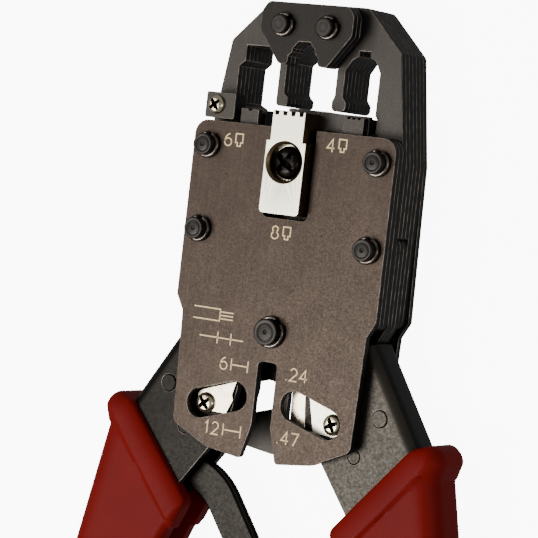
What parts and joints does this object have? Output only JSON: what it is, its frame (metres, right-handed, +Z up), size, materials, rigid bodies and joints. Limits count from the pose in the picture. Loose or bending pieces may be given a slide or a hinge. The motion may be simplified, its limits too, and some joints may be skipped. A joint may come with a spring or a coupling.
{
  "type": "modular plug crimping tool",
  "caption": "Two-handled ratchet crimping tool for modular plugs, with a laminated black steel head, plug cavities, stripping blades and red moulded grips.",
  "frame": {"origin": "on the surface that the tool lies on, under the middle of its length and width", "axes": "+Y along the tool towards the jaws, +X to the right seen from the front, +Z up out of the front cover, handles open"},
  "size_m": [0.123, 0.2056, 0.0177],
  "materials": {
    "black_steel": "black oxide, oiled",
    "cover_steel": "black oxide worn to a satin brown-grey",
    "zinc_screws": "bright zinc",
    "plated_steel": "nickel plated, satin",
    "blade_steel": "ground blade steel",
    "spring_steel": "drawn wire",
    "red_grip": "moulded vinyl, fine speckle",
    "strut_steel": "dark oxide"
  },
  "bodies": {
    "frame": {"front_cover": "cover_steel", "front_spacer_1": "black_steel", "front_spacer_2": "black_steel", "frame_plate_1": "black_steel", "frame_plate_2": "black_steel", "frame_plate_3": "black_steel", "frame_plate_4": "black_steel", "frame_plate_5": "black_steel", "frame_plate_6": "black_steel", "back_plate": "black_steel", "anvil_plate_1": "black_steel", "anvil_plate_2": "black_steel", "anvil_plate_3": "black_steel", "upper_pins": "black_steel", "pivot_pins": "black_steel", "centre_pin": "black_steel", "anvil_pins": "black_steel", "side_pin_rings": "black_steel", "centre_pin_ring": "black_steel", "anvil_pin_rings": "black_steel", "side_block": "black_steel", "side_block_screw": "zinc_screws", "return_spring": "spring_steel"},
    "ram": {"ram_plate_1": "black_steel", "ram_plate_2": "black_steel", "ram_plate_3": "black_steel", "ram_bar": "black_steel", "die_six": "black_steel", "die_four": "black_steel", "contact_driver": "plated_steel", "driver_screw": "black_steel", "ram_rivets": "black_steel"},
    "left_handle": {"left_channel": "black_steel", "left_lever_plate_1": "black_steel", "left_lever_plate_2": "black_steel", "left_lever_plate_3": "black_steel", "left_rivets": "black_steel", "left_grip": "red_grip", "left_blade": "blade_steel", "left_blade_screw": "zinc_screws", "strut_pin": "black_steel"},
    "right_handle": {"right_channel": "black_steel", "right_lever_plate_1": "black_steel", "right_lever_plate_2": "black_steel", "right_lever_plate_3": "black_steel", "right_rivets": "black_steel", "right_grip": "red_grip", "right_blade": "blade_steel", "right_blade_screw": "zinc_screws", "pawl_pin": "black_steel"},
    "strut": {"strut_plate_front": "strut_steel", "strut_plate_rear": "strut_steel", "strut_rivet": "black_steel"},
    "pawl": {"pawl": "black_steel", "pawl_spring": "spring_steel"}
  },
  "joints": [
    {"name": "left_handle_swing", "type": "hinge", "parent": "frame", "child": "left_handle", "pos_m": [-0.01995, 0.05485, 0.00675], "axis": [0, 0, 1], "range_deg": [0, 13], "stiffness_Nm_per_rad": 0.6, "springref_deg": -4.58},
    {"name": "right_handle_swing", "type": "hinge", "parent": "frame", "child": "right_handle", "pos_m": [0.01995, 0.05485, 0.00675], "axis": [0, 0, 1], "range_deg": [-13.1, 0]},
    {"name": "ram_slide", "type": "slide", "parent": "frame", "child": "ram", "axis": [0, 1, 0], "range_m": [0, 0.0039]},
    {"name": "strut_swing", "type": "hinge", "parent": "left_handle", "child": "strut", "pos_m": [-0.02362, 0.00389, 0.0072], "axis": [0, 0, 1], "range_deg": [-37.2, 0]},
    {"name": "pawl_tilt", "type": "hinge", "parent": "right_handle", "child": "pawl", "pos_m": [0.0462, -0.06255, 0.0072], "axis": [0, 0, 1], "range_deg": [0, 12], "stiffness_Nm_per_rad": 0.01, "springref_deg": -5.73}
  ],
  "couplings": [
    {"joint": "right_handle_swing", "follows": "left_handle_swing", "ratio": -1},
    {"joint": "ram_slide", "follows": "left_handle_swing", "m_per_rad": 0.0171},
    {"joint": "strut_swing", "follows": "left_handle_swing", "ratio": -2.846}
  ]
}
